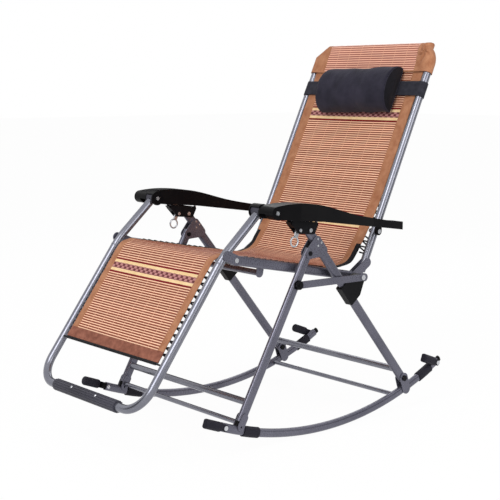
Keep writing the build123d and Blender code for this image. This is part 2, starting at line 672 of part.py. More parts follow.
lock_pin = disc(LOCK_PIVOT, LOCK_R, BRACKET_IN[0], BRACKET_OUT[1])
lock_pin += disc(LOCK_PIVOT, LOCK_R + 2, BRACKET_OUT[1], BRACKET_OUT[1] + 2)
lock_pin += disc(LOCK_PIVOT, LOCK_R + 2, BRACKET_IN[0] - 2, BRACKET_IN[0])
save("lock_pins", *pair(lock_pin))

LEVER_HALF = 3.0
RING_R = 14.0
LOCK_X = (LEG_PLANE - LEVER_HALF, LEG_PLANE + LEVER_HALF)
lock = stadium(LOCK_PIVOT, along(LOCK_PIVOT, (0.196, 0.98), 15), 13, *LOCK_X)
lock += stadium(LOCK_PIVOT, along(LOCK_PIVOT, unit(LOCK_PIVOT, RING_AT), 17), 12, *LOCK_X)
lock -= disc(LOCK_PIVOT, LOCK_R + FIT, *LOCK_X)
ring = Pos(LEG_PLANE, *RING_AT) * Rot(0, 90, 0) * Torus(RING_R, 2.6)
save_pair("ring_lever", lock + ring)


# Sling: one sheet in three stretches, on the back, the rails and the leg rest


def sheet(points, radii):
    """A sheet of the sling's width and thickness along a side-view route."""
    route = [(0, *p) for p in points]
    path = FilletPolyline(*route, radius=radii) if radii else Line(*route)
    plane = Plane(origin=path @ 0, x_dir=(1, 0, 0), z_dir=path % 0)
    return sweep(plane * Rectangle(2 * SLING_HALF, SLING_THICK), path=path)


def lacing(start, end, count, reach):
    """Elastic cords that tie both edges of a sheet to the frame, from start to end."""
    way = unit(start, end)
    step = math.dist(start, end) / (count - 1)
    cords = []
    for i in range(count):
        at = along(start, way, i * step)
        plane = Plane(origin=(SLING_HALF - 1, *at), x_dir=(0, *way), z_dir=(1, 0, 0))
        cords += pair(extrude(plane * Rectangle(CORD_WIDTH, CORD_THICK), amount=reach - SLING_HALF + 1))
    return cords


def join(base, pieces):
    """One solid of a base and the pieces that touch it."""
    for piece in pieces:
        base = base + piece
    return base


ON_TUBE = TUBE_PLANE - math.sqrt((TUBE_D / 2) ** 2 - (SLING_SET - CORD_THICK / 2) ** 2) - 0.1
back_sheet = sheet(
    [
        along(back_top, BACK_UP, -12, SLING_SET),
        along(ARM_REAR, BACK_UP, 25, SLING_SET + 3),
        (SEAT_REAR[0] + 12, SEAT_REAR[1] + 42),
    ],
    [110],
)
back_pocket = disc(back_top, TUBE_D / 2 + GAP + 2.5, -(TUBE_PLANE - BACK_BEND), TUBE_PLANE - BACK_BEND)
back_hollow = disc(back_top, TUBE_D / 2 + GAP, -SLING_HALF - 9, SLING_HALF + 9)
back_sling = (back_sheet + back_pocket) - back_hollow
_, corner_room = bent_tube(
    [
        (TUBE_PLANE, *BACK_FOOT),
        (TUBE_PLANE, *back_top),
        (-TUBE_PLANE, *back_top),
        (-TUBE_PLANE, *BACK_FOOT),
    ],
    [BACK_BEND, BACK_BEND],
    TUBE_D + 2 * GAP,
    TUBE_WALL,
)
back_sling = back_sling - corner_room
back_sling = max(back_sling.solids(), key=lambda s: s.volume)
pocket_end = Plane(
    origin=(0, *along(back_top, BACK_UP, -TUBE_D / 2 - 6)), x_dir=(1, 0, 0), z_dir=(0, *BACK_UP)
)
bend_start = Plane(
    origin=(0, *along(ARM_REAR, BACK_UP, 60)), x_dir=(1, 0, 0), z_dir=(0, *BACK_UP)
)
pocket = split(back_sling, bisect_by=pocket_end, keep=Keep.TOP)
below_pocket = split(back_sling, bisect_by=pocket_end, keep=Keep.BOTTOM)
straight = split(below_pocket, bisect_by=bend_start, keep=Keep.TOP)
corner = split(below_pocket, bisect_by=bend_start, keep=Keep.BOTTOM)
back_cords = lacing(
    along(back_top, BACK_UP, -BACK_BEND - 25, SLING_SET),
    along(BACK_FOOT, BACK_UP, 190, SLING_SET),
    BACK_CORDS,
    ON_TUBE,
)
save("back_sling", pocket, join(straight, back_cords), corner)

SEAT_LIFT = RAIL_DEPTH / 2 + CORD_THICK / 2 + 0.2
seat_from = along(SEAT_REAR, RAIL_REAR, -SEAT_CLEAR, SEAT_LIFT)
seat_to = along(SEAT_FRONT, RAIL_REAR, 0, SEAT_LIFT)
seat_cords = lacing(
    along(seat_from, RAIL_REAR, -20), along(seat_to, RAIL_REAR, 30), SEAT_CORDS, RAIL_PLANE + 3
)
save("seat_sling", join(sheet([seat_from, seat_to], []), seat_cords))

REST_DOWN = unit(LEG_REST_BEND, LEG_REST_FOOT)
REST_LENGTH = 345.0
rest_from = along(LEG_REST_BEND, REST_DOWN, -6, -SLING_SET)
rest_to = along(LEG_REST_BEND, REST_DOWN, REST_LENGTH, -SLING_SET)
rest_cords = lacing(
    along(rest_from, REST_DOWN, 60), along(rest_to, REST_DOWN, -18), REST_CORDS, ON_TUBE
)
save("leg_rest_sling", join(sheet([rest_from, rest_to], []), rest_cords))

hem_at = along(rest_to, REST_DOWN, 4.2)
hem_rod = disc(hem_at, 4, -SLING_HALF + 8, SLING_HALF - 8)
hooks = []
for side in (1, -1):
    x0, x1 = SLING_HALF - 8, TUBE_PLANE - TUBE_D / 2 + 2
    hook = disc(hem_at, 2.5, x0, x1)
    hook = hook if side > 0 else mirror(hook, about=Plane.YZ)
    hooks.append(hook - rest_bar)
save("sling_hem_rod", hem_rod + hooks[0] + hooks[1])


# Head pillow on its elastic strap, which rides up and down the back frame

PILLOW_MID = along(BACK_FOOT, BACK_UP, PILLOW_AT)
BACK_FRONT = (-BACK_UP[1], BACK_UP[0])
STRAP_IN = TUBE_D / 2 + 0.6
pillow_centre = along(PILLOW_MID, BACK_FRONT, STRAP_IN + STRAP_THICK + GAP + PILLOW_DEPTH / 2 - 1)
pillow_plane = Plane(origin=(0, *pillow_centre), x_dir=(0, *BACK_UP), z_dir=(1, 0, 0))
sections = []
END_SHAPE = ((0.86, 1.0), (0.96, 0.965), (1.0, 0.88))
stations = [(share, x) for share, x in END_SHAPE] + [(share, -x) for share, x in reversed(END_SHAPE)]
for share, x in stations:
    ellipse = Ellipse(PILLOW_HEIGHT / 2 * share, PILLOW_DEPTH / 2 * share)
    sections.append(pillow_plane.offset(x * PILLOW_HALF) * ellipse)
pillow = loft(sections, ruled=True)
back_clear = Plane(
    origin=(0, *along(PILLOW_MID, BACK_FRONT, STRAP_IN + STRAP_THICK + GAP)),
    x_dir=(1, 0, 0), z_dir=(0, *BACK_FRONT),
)
behind = back_clear * Pos(0, 0, -100) * Box(900, 400, 200)
save("head_pillow", pillow - behind)

strap_low = along(BACK_FOOT, BACK_UP, STRAP_AT - STRAP_WIDTH / 2)
strap_plane = Plane(origin=(0, *strap_low), x_dir=(1, 0, 0), z_dir=(0, *BACK_UP))
strap_ring = SlotCenterToCenter(2 * TUBE_PLANE, 2 * (STRAP_IN + STRAP_THICK)) - SlotCenterToCenter(
    2 * TUBE_PLANE, 2 * STRAP_IN
)
save("pillow_strap", extrude(strap_plane * strap_ring, amount=STRAP_WIDTH))
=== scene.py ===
import bpy
import bmesh
import math
from mathutils import Matrix, Vector, noise
from mathutils.bvhtree import BVHTree


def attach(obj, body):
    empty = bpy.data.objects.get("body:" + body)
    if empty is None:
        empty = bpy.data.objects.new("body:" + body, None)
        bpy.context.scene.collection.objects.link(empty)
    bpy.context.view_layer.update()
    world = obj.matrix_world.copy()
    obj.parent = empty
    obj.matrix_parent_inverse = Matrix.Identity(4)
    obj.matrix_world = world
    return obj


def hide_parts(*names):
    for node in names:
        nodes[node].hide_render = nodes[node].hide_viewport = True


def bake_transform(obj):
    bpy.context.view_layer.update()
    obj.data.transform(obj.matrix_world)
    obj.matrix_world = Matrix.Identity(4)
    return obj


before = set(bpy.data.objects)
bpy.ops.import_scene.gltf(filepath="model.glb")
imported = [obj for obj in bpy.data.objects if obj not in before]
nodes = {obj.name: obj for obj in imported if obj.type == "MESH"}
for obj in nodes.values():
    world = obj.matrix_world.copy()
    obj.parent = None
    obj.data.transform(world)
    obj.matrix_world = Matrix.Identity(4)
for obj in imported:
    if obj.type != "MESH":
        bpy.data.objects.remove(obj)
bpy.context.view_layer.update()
MM = 0.001

# Side-view points are (Y, Z) pairs in millimetres, as in the part's source.
SEAT_REAR = (214.0, 455.0)
SEAT_FRONT = (-256.0, 549.0)
BACK_FOOT = (258.0, 464.0)
BACK_LEAN = math.radians(25.4)
BACK_UP = (math.sin(BACK_LEAN), math.cos(BACK_LEAN))
BACK_FRONT = (-BACK_UP[1], BACK_UP[0])
BACK_LENGTH = 760.0
LEG_REST_BEND = (-290.0, 562.0)
LEG_REST_FOOT = (-581.8, 165.0)
TUBE_PLANE = 257.0
TUBE_R = 12.5
RAIL_PLANE = 262.0
SLING_HALF = 232.0
FIELD_HALF = 203.0
SLING_SET = 6.0
SEAT_SET = 15.5
SLAT_PITCH = 7.7
PILLOW_AT = 597.0
PILLOW_X = 20.0
PILLOW_TURN = math.radians(1.5)
PILLOW_HALF = 157.0
PILLOW_HEIGHT = 162.0
PILLOW_DEPTH = 65.0
STRAP_WIDTH = 50.0
STRAP_AT = 612.0


def unit(p, q):
    """Direction from p to q."""
    length = math.dist(p, q)
    return ((q[0] - p[0]) / length, (q[1] - p[1]) / length)


def along(p, way, distance, aside=0.0):
    """Point at a distance from p along way, and aside to its left."""
    return (p[0] + way[0] * distance - way[1] * aside, p[1] + way[1] * distance + way[0] * aside)


REST_DOWN = unit(LEG_REST_BEND, LEG_REST_FOOT)
RAIL_REAR = unit(SEAT_FRONT, SEAT_REAR)


def down_rest(t, aside=0.0):
    """Side-view point t down the leg rest's tubes."""
    return along(LEG_REST_BEND, REST_DOWN, t, aside)


def up_back(t, aside=0.0):
    """Side-view point t up the back's tubes, and aside to their front."""
    return along(BACK_FOOT, BACK_UP, t, aside)


# Meshes and curves


def link_object(name, data):
    """An object in the scene for a mesh or curve."""
    obj = bpy.data.objects.new(name, data)
    bpy.context.collection.objects.link(obj)
    return obj


def mesh_object(name, verts, faces, materials, picks=None):
    """A smooth mesh object from points in millimetres, with a material index per face."""
    mesh = bpy.data.meshes.new(name)
    mesh.from_pydata([Vector(v) * MM for v in verts], [], faces)
    for material in materials:
        mesh.materials.append(material)
    for i, polygon in enumerate(mesh.polygons):
        polygon.use_smooth = True
        if picks:
            polygon.material_index = picks[i]
    mesh.update()
    return link_object(name, mesh)


def grid_faces(rows, wide, start=0):
    """Quads of a grid of points, row by row."""
    corners = [start + r * wide + c for r in range(rows - 1) for c in range(wide - 1)]
    return [(a, a + 1, a + wide + 1, a + wide) for a in corners]


def ring_faces(rings, around):
    """Quads between closed rings of points that follow one another."""
    faces = []
    for r in range(rings - 1):
        for k in range(around):
            a = r * around + k
            b = r * around + (k + 1) % around
            faces.append((a, b, b + around, a + around))
    return faces


def turns(count):
    """Angles of a number of even steps round a circle."""
    return [2 * math.pi * k / count for k in range(count)]


def apply_modifiers(obj):
    """Bakes an object's modifiers into its mesh."""
    bpy.context.view_layer.update()
    graph = bpy.context.evaluated_depsgraph_get()
    mesh = bpy.data.meshes.new_from_object(obj.evaluated_get(graph))
    obj.modifiers.clear()
    obj.data = mesh
    return obj


def thicken(obj, thickness, offset):
    """Gives a surface a thickness in millimetres."""
    thick = obj.modifiers.new("thick", "SOLIDIFY")
    thick.thickness = thickness * MM
    thick.offset = offset
    return apply_modifiers(obj)


def flat_uv(obj, flat):
    """Writes the unrolled cloth's coordinates as the UV map that the cloth materials read."""
    layer = obj.data.uv_layers.new(name="flat")
    for loop in obj.data.loops:
        layer.data[loop.index].uv = flat[loop.vertex_index]


def cord_curve(name, radius, material):
    """An empty round curve with a radius in millimetres."""
    curve = bpy.data.curves.new(name, "CURVE")
    curve.dimensions = "3D"
    curve.bevel_depth = radius * MM
    curve.bevel_resolution = 2
    curve.materials.append(material)
    return curve


def add_spline(curve, kind, points):
    """A spline through points in metres."""
    spline = curve.splines.new(kind)
    spline.points.add(len(points) - 1)
    for slot, point in zip(spline.points, points):
        slot.co = (*point, 1.0)
    return spline


# Materials

# Colour sockets of the Mix node: two inputs and the output.
MIX_A = 6
MIX_B = 7
MIX_OUT = 2


def plug(node, inputs):
    """Sets a node's inputs, by name or number: a socket is linked and any other value is written."""
    for key, value in inputs.items():
        if isinstance(value, bpy.types.NodeSocket):
            node.id_data.links.new(value, node.inputs[key])
        else:
            node.inputs[key].default_value = value


def node_adder(tree):
    """A function that adds a node to a tree and returns one of its outputs."""

    def add(kind, inputs=None, out=0, **settings):
        node = tree.nodes.new(kind)
        for key, value in settings.items():
            setattr(node, key, value)
        plug(node, inputs or {})
        return node.outputs[out]

    return add


def new_material(name):
    """A node material, its shader, and a function that adds nodes to it."""
    material = bpy.data.materials.new(name)
    material.use_nodes = True
    return material, material.node_tree.nodes["Principled BSDF"], node_adder(material.node_tree)


def ramp(add, value, stops):
    """Colour ramp over a value."""
    colour = add("ShaderNodeValToRGB", {"Fac": value})
    elements = colour.node.color_ramp.elements
    while len(elements) > len(stops):
        elements.remove(elements[-1])
    while len(elements) < len(stops):
        elements.new(0.5)
    for element, (at, tone) in zip(elements, stops):
        element.position = at
        element.color = (*tone, 1.0)
    return colour


def maths(add, operation, *values):
    """Math node over one or two values."""
    return add("ShaderNodeMath", dict(enumerate(values)), operation=operation)


def noise_at(add, place, scale, detail):
    """Noise value at a place."""
    return add("ShaderNodeTexNoise", {"Vector": place, "Scale": scale, "Detail": detail}, "Fac")


def bumps(add, height, strength, distance):
    """Normal of a bumpy surface."""
    return add("ShaderNodeBump", {"Height": height, "Strength": strength, "Distance": distance}, "Normal")


def ranged(add, value, low, high, top=1.0):
    """A value from 0 to top, brought to the range from low to high."""
    inputs = {"Value": value, "From Max": top, "To Min": low, "To Max": high}
    return add("ShaderNodeMapRange", inputs, "Result")


def mixed(add, factor, a, b, blend="MIX"):
    """Two colours mixed."""
    inputs = {"Factor": factor, MIX_A: a, MIX_B: b}
    return add("ShaderNodeMix", inputs, MIX_OUT, data_type="RGBA", blend_type=blend)


LEAST_ROUGH = 0.05
ROUGH_SPREAD = 0.05
TONE_SCALE = 9.0
YARN_SHADE = (0.82, 1.06)
SLAT_SHADE = (0.8, 1.16)
GRAIN_ACROSS = 14.0
GRAIN_ALONG = 900.0
THREAD_REACH = 0.026
THREAD_HALF = 0.0008
THREAD_COLOUR = (0.70, 0.37, 0.24, 1.0)
CHECK_CELL = (0.012, 0.008)
CHECK_DARK = (0.12, 0.022, 0.024, 1.0)
CHECK_LIGHT = (0.46, 0.20, 0.19, 1.0)


def hard_material(name, dark, light, roughness, metallic, grain, bump, shine=0.5):
    """Painted, plated or moulded surface: tone varies softly, with a fine grain."""
    material, shader, add = new_material(name)
    place = add("ShaderNodeTexCoord", out="Object")
    soft = noise_at(add, place, TONE_SCALE, 3.0)
    fine = noise_at(add, place, grain, 2.0)
    smoothest = max(LEAST_ROUGH, roughness - ROUGH_SPREAD)
    plug(shader, {
        "Base Color": ramp(add, soft, [(0.3, dark), (0.7, light)]),
        "Roughness": ranged(add, fine, smoothest, roughness + ROUGH_SPREAD),
        "Normal": bumps(add, fine, bump, 0.0006),
        "Metallic": metallic,
        "Specular IOR Level": shine,
    })
    return material


def cloth_material(name, dark, light, scale, roughness, sheen, blotch):
    """Woven cloth: two crossed fine waves for the yarns over a soft tone change."""
    material, shader, add = new_material(name)
    place = add("ShaderNodeTexCoord", out="Object")
    tone = ramp(add, noise_at(add, place, blotch, 4.0), [(0.28, dark), (0.72, light)])
    wave = {"Vector": place, "Scale": scale, "Distortion": 0.6}
    warp = add("ShaderNodeTexWave", wave, "Fac", wave_type="BANDS", bands_direction="X")
    weft = add("ShaderNodeTexWave", wave, "Fac", wave_type="BANDS", bands_direction="Z")
    yarn = maths(add, "MULTIPLY", warp, weft)
    plug(shader, {
        "Base Color": mixed(add, 1.0, tone, ranged(add, yarn, *YARN_SHADE), "MULTIPLY"),
        "Normal": bumps(add, yarn, 0.25, 0.0005),
        "Roughness": roughness,
        "Sheen Weight": sheen,
        "Specular IOR Level": 0.12,
    })
    return material


def slat_material(name, gap, face, crown_highlight):
    """Split-cane slats: a tone per slat, pale crowns painted as a highlight, dark gaps and sewn threads,
    from the sheet's UV.
    """
    material, shader, add = new_material(name)
    uv = add("ShaderNodeUVMap", out="UV", uv_map="flat")
    split = add("ShaderNodeSeparateXYZ", {"Vector": uv}).node.outputs
    count = maths(add, "DIVIDE", split["Y"], SLAT_PITCH * MM)
    # The pale band of each slat is a painted highlight on its crown.
    stops = [(0.0, gap), (0.14, face), (0.47, face), (0.57, crown_highlight), (0.88, crown_highlight), (0.96, gap)]
    cane = ramp(add, maths(add, "FRACT", count), stops)
    slat = maths(add, "FLOOR", count)
    per_slat = add("ShaderNodeTexWhiteNoise", {"W": slat}, "Value", noise_dimensions="1D")
    grain_x = maths(add, "MULTIPLY", split["X"], GRAIN_ACROSS)
    grain_y = maths(add, "MULTIPLY", split["Y"], GRAIN_ALONG)
    grain = noise_at(add, add("ShaderNodeCombineXYZ", {"X": grain_x, "Y": grain_y}), 1.0, 3.0)
    level = ranged(add, maths(add, "ADD", per_slat, grain), *SLAT_SHADE, top=2.0)
    toned = mixed(add, 1.0, cane, level, "MULTIPLY")
    sewn = maths(add, "PINGPONG", split["X"], THREAD_REACH)
    thread = maths(add, "LESS_THAN", sewn, THREAD_HALF)
    plug(shader, {
        "Base Color": mixed(add, thread, toned, THREAD_COLOUR),
        "Normal": bumps(add, grain, 0.2, 0.0004),
        "Roughness": 0.5,
        "Specular IOR Level": 0.2,
    })
    return material


def check_material(name):
    """Woven band of small light and dark checks, a common border pattern."""
    material, shader, add = new_material(name)
    uv = add("ShaderNodeUVMap", out="UV", uv_map="flat")
    cells = add("ShaderNodeMapping", {"Vector": uv, "Scale": (1 / CHECK_CELL[0], 1 / CHECK_CELL[1], 1.0)})
    checks = {"Vector": cells, "Scale": 1.0, "Color1": CHECK_DARK, "Color2": CHECK_LIGHT}
    yarn = noise_at(add, uv, 500.0, 2.0)
    plug(shader, {
        "Base Color": mixed(add, 0.6, add("ShaderNodeTexChecker", checks), yarn, "SOFT_LIGHT"),
        "Normal": bumps(add, yarn, 0.3, 0.0004),
        "Roughness": 0.8,
    })
    return material


# Hard surfaces: dark and light tone, roughness, metallic, grain, bump, shine
TUBE = hard_material("tube_silver", (0.17, 0.173, 0.21), (0.22, 0.223, 0.26), 0.24, 0.75, 240.0, 0.01)
LEG = hard_material("leg_grey", (0.11, 0.109, 0.142), (0.148, 0.146, 0.186), 0.28, 0.6, 240.0, 0.01, 0.4)
ZINC = hard_material("zinc", (0.50, 0.51, 0.54), (0.64, 0.65, 0.68), 0.26, 0.9, 160.0, 0.04)
BLACK = hard_material(
    "moulded_black", (0.002, 0.002, 0.003), (0.005, 0.0045, 0.005), 0.34, 0.0, 900.0, 0.08, 0.08
)
SLEEVE = hard_material(
    "sleeve_black", (0.003, 0.003, 0.004), (0.006, 0.006, 0.008), 0.42, 0.0, 700.0, 0.15, 0.1
)
RUBBER = hard_material(
    "rubber_black", (0.010, 0.0095, 0.015), (0.020, 0.019, 0.029), 0.55, 0.0, 500.0, 0.2, 0.14
)
COVER = hard_material(
    "cover_charcoal", (0.034, 0.033, 0.046), (0.056, 0.054, 0.074), 0.42, 0.0, 600.0, 0.12, 0.25
)
# Slats: gap, face and pale crown, the crown a painted highlight
SLAT = slat_material("cane_slats", (0.13, 0.022, 0.010), (0.25, 0.06, 0.029), (1.0, 0.61, 0.41))
POCKET = slat_material("cane_pocket", (0.20, 0.04, 0.022), (0.38, 0.13, 0.085), (0.88, 0.50, 0.37))
# Cloths: dark and light tone, yarn scale, roughness, sheen, scale of the blotches
CREAM = cloth_material("band_cream", (0.90, 0.60, 0.30), (0.98, 0.73, 0.42), 260.0, 0.75, 0.05, 40.0)
RED = cloth_material("band_red", (0.17, 0.006, 0.008), (0.25, 0.015, 0.018), 260.0, 0.75, 0.05, 40.0)
CHECK = check_material("band_checks")
BORDER = cloth_material("border_brown", (0.38, 0.15, 0.073), (0.53, 0.25, 0.135), 330.0, 0.8, 0.08, 46.0)
HEM = cloth_material("hem_suede", (0.20, 0.065, 0.040), (0.37, 0.14, 0.09), 300.0, 0.9, 0.1, 60.0)
PILLOW = cloth_material(
    "pillow_charcoal", (0.016, 0.015, 0.026), (0.034, 0.031, 0.050), 420.0, 0.8, 0.06, 22.0
)
# Darker copy of the pillow's cloth for the end panels: painted shade, not a different cloth.
PILLOW_END_SHADE = cloth_material(
    "pillow_end_painted_shade", (0.004, 0.004, 0.006), (0.010, 0.009, 0.014), 420.0, 0.8, 0.06, 22.0
)
WEBBING = cloth_material(
    "webbing_black", (0.020, 0.020, 0.029), (0.038, 0.038, 0.052), 520.0, 0.8, 0.05, 60.0
)
ELASTIC = cloth_material(
    "elastic_black", (0.005, 0.005, 0.007), (0.012, 0.012, 0.015), 600.0, 0.8, 0.05, 80.0
)

# Materials by the start of a node's name; the longest start counts.
NODE_MATERIALS = [
    (LEG, ["leg_", "rear_leg", "front_leg", "runner", "gusset_plates", "link_", "seat_rail"]),
    (LEG, ["seat_stretcher", "back_cheeks", "leg_rest_cheeks", "rear_foot_plates", "front_foot_clips"]),
    (TUBE, ["rear_crossbar", "front_crossbar", "front_foot_rod", "runner_rear_rod", "back_frame"]),
    (TUBE, ["leg_rest_frame"]),
    (BLACK, ["front_leg_ends", "runner_end_caps", "back_pivot_bushes", "armrest"]),
    (RUBBER, ["runner_pads", "stop_lever_f", "stop_lever_rear"]),
    (COVER, ["foot_cover", "arm_knuckle"]),
    (SLEEVE, ["leg_sleeve", "link_knuckles", "lock_bracket", "leg_pivot_rivets", "rear_foot_pins"]),
    (ELASTIC, ["sling_hem_rod"]),
    (ZINC, ["arm_front_bolts", "arm_rear_rivets", "arm_slide_rods", "front_pivot_rivets", "gusset_rivets"]),
    (ZINC, ["leg_top_rivets", "lock_pins", "seat_pivot_bolts", "stop_lever_rivets", "ring_lever"]),
]
BY_START = {start: material for material, starts in NODE_MATERIALS for start in starts}
ARM_CREASE = math.radians(38.0)
for name, node in nodes.items():
    if name.startswith("armrest"):
        node.data.shade_smooth()
        node.data.set_sharp_from_angle(angle=ARM_CREASE)
    starts = [start for start in BY_START if name.startswith(start)]
    if starts:
        node.data.materials.clear()
        node.data.materials.append(BY_START[max(starts, key=len)])


# The sling: one cloth in four pieces that meet at the knee, on the seat and at the back's foot

ARC_STEPS = 12


def rounded(points, radii, step):
    """Points along straight runs and arcs, a step apart, and the whole length."""
    route = [points[0]]
    for a, b, c, radius in zip(points, points[1:], points[2:], radii):
        before, after = unit(b, a), unit(b, c)
        turn = math.acos(max(-1, min(1, before[0] * after[0] + before[1] * after[1])))
        reach = radius / math.tan(turn / 2)
        start = along(b, before, reach)
        end = along(b, after, reach)
        weight = math.sin(turn / 2)
        for k in range(ARC_STEPS + 1):
            t = k / ARC_STEPS
            u = 1 - t
            low = u * u + 2 * u * t * weight + t * t
            ends = zip(start, b, end)
            route.append(tuple((u * u * s + 2 * u * t * weight * m + t * t * e) / low for s, m, e in ends))
    route.append(points[-1])
    lengths = [0.0]
    for p, q in zip(route, route[1:]):
        lengths.append(lengths[-1] + math.dist(p, q))
    count = int(lengths[-1] / step)
    even, i = [], 0
    for k in range(count + 1):
        s = lengths[-1] * k / count
        while i < len(route) - 2 and lengths[i + 1] < s:
            i += 1
        t = (s - lengths[i]) / max(1e-9, lengths[i + 1] - lengths[i])
        even.append(tuple(p + (q - p) * t for p, q in zip(route[i], route[i + 1])))
    return even, lengths[-1]


SLING_SHORT = 30.0
LEG_END = down_rest(346, -SLING_SET)
LEG_HIGH = down_rest(14, -SLING_SET)
KNEE = (-266.0, 562.0)
KNEE_MID = (-280.0, 559.0)
SEAT_MID = along(SEAT_FRONT, RAIL_REAR, 240, 11)
SEAT_BACK = along(SEAT_REAR, RAIL_REAR, -52, SEAT_SET)
CORNER = (228.0, 490.0)
BACK_LOW = up_back(118, 3 * SLING_SET)
BACK_JOIN = up_back(240, SLING_SET)
BACK_HIGH = up_back(BACK_LENGTH - SLING_SHORT, SLING_SET)
ROUTE, ROUTE_LENGTH = rounded(
    [LEG_END, LEG_HIGH, KNEE, SEAT_MID, SEAT_BACK, CORNER, BACK_LOW, BACK_JOIN, BACK_HIGH],
    [45, 28, 900, 120, 66, 260, 400],
    SLAT_PITCH / 4,
)
LAST = len(ROUTE) - 1
STEP = ROUTE_LENGTH / LAST


def index_at(point):
    """Index of the route's point nearest to a side-view point."""
    return min(range(len(ROUTE)), key=lambda i: math.dist(ROUTE[i], point))


def station(point):
    """Length along the route nearest to a side-view point."""
    return index_at(point) * STEP


# The cloths of the sling, in the order of the pieces' materials
KIND_SLAT, KIND_CREAM, KIND_RED, KIND_CHECK, KIND_BORDER, KIND_HEM, KIND_EDGE = range(7)
SLING_CLOTHS = [SLAT, CREAM, RED, CHECK, BORDER, HEM, ELASTIC]
BAND_WIDTH = 50.0
BAND_RED = 5.5
BAND_CREAM = 16.0
BANDS = [
    station(down_rest(115, -SLING_SET)),
    station(up_back(124, SLING_SET)),
    station(up_back(496, SLING_SET)),
]
BINDING_END = 2.5
HEM_END = 34.0
EDGE_HALF = 219.0
EDGE_FROM = station(SEAT_BACK)
EDGE_TO = station(up_back(78, 26))
BORDER_MID = 209.0
BACK_EXTRA = 13.0
BACK_EASE = 60.0
FIELD_COLUMNS = 16
EDGE_COLUMNS = [
    -SLING_HALF, -SLING_HALF + 1.5, -SLING_HALF + 4, -EDGE_HALF, -BORDER_MID, -FIELD_HALF - 1.5, -FIELD_HALF
]
INSIDE = [-FIELD_HALF + FIELD_HALF * 2 * k / FIELD_COLUMNS for k in range(1, FIELD_COLUMNS)]
COLUMNS = EDGE_COLUMNS + INSIDE + [-x for x in reversed(EDGE_COLUMNS)]
EDGE_ROUND = 3
PUCKER_EDGE = 12
PUCKER = 0.35
SAG = 2.0
SLING_THICK = 2.6


def cloth_kind(s, x):
    """Kind of cloth at a length along the sling and a distance from its middle."""
    if s < BINDING_END:
        return KIND_EDGE
    if s < HEM_END:
        return KIND_HEM
    if abs(x) > EDGE_HALF and EDGE_FROM < s < EDGE_TO:
        return KIND_EDGE
    if abs(x) > FIELD_HALF:
        return KIND_BORDER
    for start in BANDS:
        into = s - start
        if 0 <= into <= BAND_WIDTH:
            edge = min(into, BAND_WIDTH - into)
            if edge < BAND_RED:
                return KIND_RED
            return KIND_CHECK if edge > BAND_CREAM else KIND_CREAM
    return KIND_SLAT


def spread_out(s, x):
    """The cloth's border is a little wider on the back than on the seat and leg rest."""
    share = min(1.0, max(0.0, (s - EDGE_FROM) / BACK_EASE))
    over = max(0.0, abs(x) - FIELD_HALF) / (SLING_HALF - FIELD_HALF)
    return x + math.copysign(BACK_EXTRA * share * over, x)


def cloth_height(s, x):
    """How far the face stands out from the route: slat crowns, flat bands and a doubled border."""
    kind = cloth_kind(s, x)
    edge = SLING_HALF - abs(x)
    if s > HEM_END and abs(x) > FIELD_HALF:
        soft = 1.0
        if edge <= EDGE_ROUND:
            soft = math.sqrt(max(0.0, 1 - (1 - edge / EDGE_ROUND) ** 2))
        pucker = PUCKER * math.sin(s / 7.0) * (1 if x > 0 else -1)
        return 0.4 + 1.3 * soft + (pucker if edge < PUCKER_EDGE else 0.0)
    if kind in (KIND_HEM, KIND_EDGE):
        return 1.2 + 0.5 * noise.noise(Vector((x / 22, s / 16, 0)))
    if kind in (KIND_CREAM, KIND_RED, KIND_CHECK):
        return 0.9
    phase = (s / SLAT_PITCH) % 1.0
    return 0.2 + 1.3 * math.sin(math.pi * phase) ** 0.6


def sling_piece(name, first, last):
    """The cloth from one route index to another, and its length."""
    rows = range(first, last + 1)
    points, flat = [], []
    for i in rows:
        way = unit(ROUTE[max(0, i - 1)], ROUTE[min(LAST, i + 1)])
        s = i * STEP
        for x in COLUMNS:
            height = cloth_height(s, x) - SAG * math.cos(math.pi * x / (2 * SLING_HALF))
            points.append((spread_out(s, x), *along(ROUTE[i], way, 0.0, height)))
            flat.append((x * MM, s * MM))
    picks = []
    for i in rows[:-1]:
        for left, right in zip(COLUMNS, COLUMNS[1:]):
            picks.append(cloth_kind((i + 0.5) * STEP, (left + right) / 2))
    obj = mesh_object(name, points, grid_faces(len(rows), len(COLUMNS)), SLING_CLOTHS, picks)
    flat_uv(obj, flat)
    thicken(obj, SLING_THICK, -1.0)
    return obj, len(rows) * STEP


knee_mid = index_at(KNEE_MID)
seat_mid = index_at(SEAT_MID)
foot_mid = index_at(CORNER)
leg_cloth, leg_length = sling_piece("sling_leg", 0, knee_mid)
front_cloth, front_length = sling_piece("sling_seat_front", knee_mid, seat_mid)
rear_cloth, rear_length = sling_piece("sling_seat_rear", seat_mid, foot_mid)
back_cloth, back_length = sling_piece("sling_back", foot_mid, LAST)

# A point up the back's tubes (BACK_TURNED, not read below), then each piece's placement baked into its mesh
BACK_TURNED = up_back(84, 24)
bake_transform(leg_cloth)
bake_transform(front_cloth)
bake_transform(rear_cloth)
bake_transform(back_cloth)
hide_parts("leg_rest_sling")
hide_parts("seat_sling")
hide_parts("back_sling")


# Pocket over the top of the back frame; t is the distance up the tubes

POCKET_LOW = 671.0
POCKET_TOP = BACK_LENGTH + 15.5
POCKET_SIDE = TUBE_PLANE + 14.5
POCKET_CUT_X = 222.0
POCKET_CUT_T = BACK_LENGTH - 28.0
POCKET_CUT = unit((POCKET_SIDE, POCKET_CUT_T), (POCKET_CUT_X, POCKET_TOP))
POCKET_R = 15.0
POCKET_ROWS = 56
POCKET_COLUMNS = 132
POCKET_CROWD = 1.25
POCKET_SEAM = 5
POCKET_THICK = 1.2
